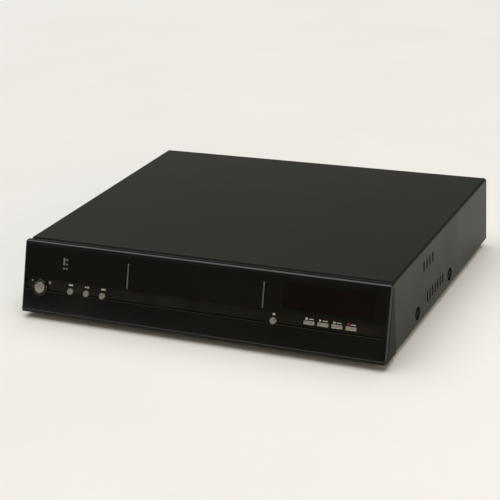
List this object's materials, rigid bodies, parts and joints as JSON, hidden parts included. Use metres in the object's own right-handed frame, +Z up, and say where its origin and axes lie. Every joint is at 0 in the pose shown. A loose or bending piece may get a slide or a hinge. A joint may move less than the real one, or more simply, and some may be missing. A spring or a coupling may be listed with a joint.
{
  "type": "disc and hard disk recorder",
  "caption": "Full-width disc and hard disk recorder with a raked gloss front, sliding disc tray, smoked display window, push buttons and a drop-down flap over the front jacks.",
  "frame": {"origin": "middle of the overall box, at the height that the feet stand on", "axes": "+X to the right of someone who faces the front, +Y towards the back, +Z up"},
  "size_m": [0.43, 0.36, 0.083],
  "materials": {
    "cover_paint": "matte",
    "fascia_black": "satin",
    "panel_gloss": "gloss",
    "band_gloss": "gloss",
    "flap_gloss": "gloss",
    "collar_black": "gloss",
    "smoked_window": "gloss",
    "display_glass": "gloss",
    "light_pipe": "satin",
    "silver_button": "satin",
    "bright_strip": "polished",
    "tray_black": "matte",
    "drive_grey": "matte",
    "pinion_white": "matte",
    "zinc_steel": "satin",
    "rear_grey": "matte",
    "nickel": "satin",
    "bright_steel": "polished",
    "disk_casting": "cast",
    "screw_black": "blackened",
    "rubber": "matte",
    "board_green": "satin",
    "board_tan": "matte",
    "fan_black": "satin",
    "jack_black": "satin",
    "jack_white": "satin",
    "jack_yellow": "satin",
    "jack_red": "satin"
  },
  "bodies": {
    "cabinet": {"aerial_tuner": "nickel", "back_left_foot": "rubber", "back_right_foot": "rubber", "band_trim": "band_gloss", "base_chassis": "zinc_steel", "display_lens": "smoked_window", "display_module": "display_glass", "drive_bracket": "zinc_steel", "drive_housing": "drive_grey", "drive_lid": "zinc_steel", "fan_frame": "fan_black", "fascia_frame": "fascia_black", "front_audio_left_jack": "jack_white", "front_audio_right_jack": "jack_red", "front_left_foot": "rubber", "front_right_foot": "rubber", "front_s_video_jack": "jack_black", "front_video_jack": "jack_yellow", "gloss_panel": "panel_gloss", "hard_disk": "disk_casting", "hard_disk_bracket": "zinc_steel", "hdmi_socket": "nickel", "indicator_light_pipe": "light_pipe", "jack_panel": "fascia_black", "left_back_screw": "screw_black", "left_front_board": "board_green", "left_front_screw": "screw_black", "left_guide_rod": "bright_steel", "main_board": "board_green", "mains_inlet": "jack_black", "power_board": "board_tan", "power_collar": "collar_black", "rear_jack_block": "jack_black", "rear_left_screw": "screw_black", "rear_panel": "rear_grey", "rear_right_screw": "screw_black", "right_back_screw": "screw_black", "right_front_board": "board_green", "right_front_screw": "screw_black", "right_guide_rod": "bright_steel", "spindle_motor": "bright_steel", "top_cover": "cover_paint"},
    "tray": {"disc_tray": "tray_black", "tray_front": "panel_gloss", "tray_left_strip": "bright_strip", "tray_right_strip": "bright_strip"},
    "pinion": {"loading_pinion": "pinion_white"},
    "spindle": {"spindle_turntable": "fan_black"},
    "sled": {"laser_sled": "disk_casting"},
    "flap": {"front_flap": "flap_gloss"},
    "fan": {"fan_rotor": "fan_black"},
    "power_button": {"power_button": "silver_button"},
    "round_button_1": {"round_button_1": "silver_button"},
    "round_button_2": {"round_button_2": "silver_button"},
    "round_button_3": {"round_button_3": "silver_button"},
    "open_close_button": {"open_close_button": "silver_button"},
    "bar_button_1": {"bar_button_1": "silver_button"},
    "bar_button_2": {"bar_button_2": "silver_button"},
    "bar_button_3": {"bar_button_3": "silver_button"},
    "bar_button_4": {"bar_button_4": "silver_button"}
  },
  "joints": [
    {"name": "power_button_press", "type": "slide", "parent": "cabinet", "child": "power_button", "axis": [0, 0.9483, -0.3173], "range_m": [0, 0.0007], "stiffness_N_per_m": 500, "springref_m": -0.001},
    {"name": "round_button_1_press", "type": "slide", "parent": "cabinet", "child": "round_button_1", "axis": [0, 0.9483, -0.3173], "range_m": [0, 0.0007], "stiffness_N_per_m": 500, "springref_m": -0.001},
    {"name": "round_button_2_press", "type": "slide", "parent": "cabinet", "child": "round_button_2", "axis": [0, 0.9483, -0.3173], "range_m": [0, 0.0007], "stiffness_N_per_m": 500, "springref_m": -0.001},
    {"name": "round_button_3_press", "type": "slide", "parent": "cabinet", "child": "round_button_3", "axis": [0, 0.9483, -0.3173], "range_m": [0, 0.0007], "stiffness_N_per_m": 500, "springref_m": -0.001},
    {"name": "open_close_button_press", "type": "slide", "parent": "cabinet", "child": "open_close_button", "axis": [0, 0.9483, -0.3173], "range_m": [0, 0.0007], "stiffness_N_per_m": 500, "springref_m": -0.001},
    {"name": "bar_button_1_press", "type": "slide", "parent": "cabinet", "child": "bar_button_1", "axis": [0, 0.9483, -0.3173], "range_m": [0, 0.0007], "stiffness_N_per_m": 500, "springref_m": -0.001},
    {"name": "bar_button_2_press", "type": "slide", "parent": "cabinet", "child": "bar_button_2", "axis": [0, 0.9483, -0.3173], "range_m": [0, 0.0007], "stiffness_N_per_m": 500, "springref_m": -0.001},
    {"name": "bar_button_3_press", "type": "slide", "parent": "cabinet", "child": "bar_button_3", "axis": [0, 0.9483, -0.3173], "range_m": [0, 0.0007], "stiffness_N_per_m": 500, "springref_m": -0.001},
    {"name": "bar_button_4_press", "type": "slide", "parent": "cabinet", "child": "bar_button_4", "axis": [0, 0.9483, -0.3173], "range_m": [0, 0.0007], "stiffness_N_per_m": 500, "springref_m": -0.001},
    {"name": "tray_slide", "type": "slide", "parent": "cabinet", "child": "tray", "axis": [0, -1, 0], "range_m": [0, 0.135]},
    {"name": "pinion_turn", "type": "hinge", "parent": "cabinet", "child": "pinion", "pos_m": [-0.0556, -0.13254, 0.051], "axis": [0, 0, 1], "range_deg": [0, 1215]},
    {"name": "spindle_spin", "type": "hinge", "parent": "cabinet", "child": "spindle", "pos_m": [-0.002, -0.09104, 0.048], "axis": [0, 0, 1], "continuous": true},
    {"name": "sled_slide", "type": "slide", "parent": "cabinet", "child": "sled", "axis": [0, 1, 0], "range_m": [0, 0.034]},
    {"name": "flap_turn", "type": "hinge", "parent": "cabinet", "child": "flap", "pos_m": [0, -0.17846, 0.0112], "axis": [1, 0, 0], "range_deg": [0, 105]},
    {"name": "fan_spin", "type": "hinge", "parent": "cabinet", "child": "fan", "pos_m": [0.138, 0.16096, 0.047], "axis": [0, 1, 0], "continuous": true}
  ],
  "couplings": [
    {"joint": "pinion_turn", "follows": "tray_slide", "rad_per_m": 156.25}
  ]
}
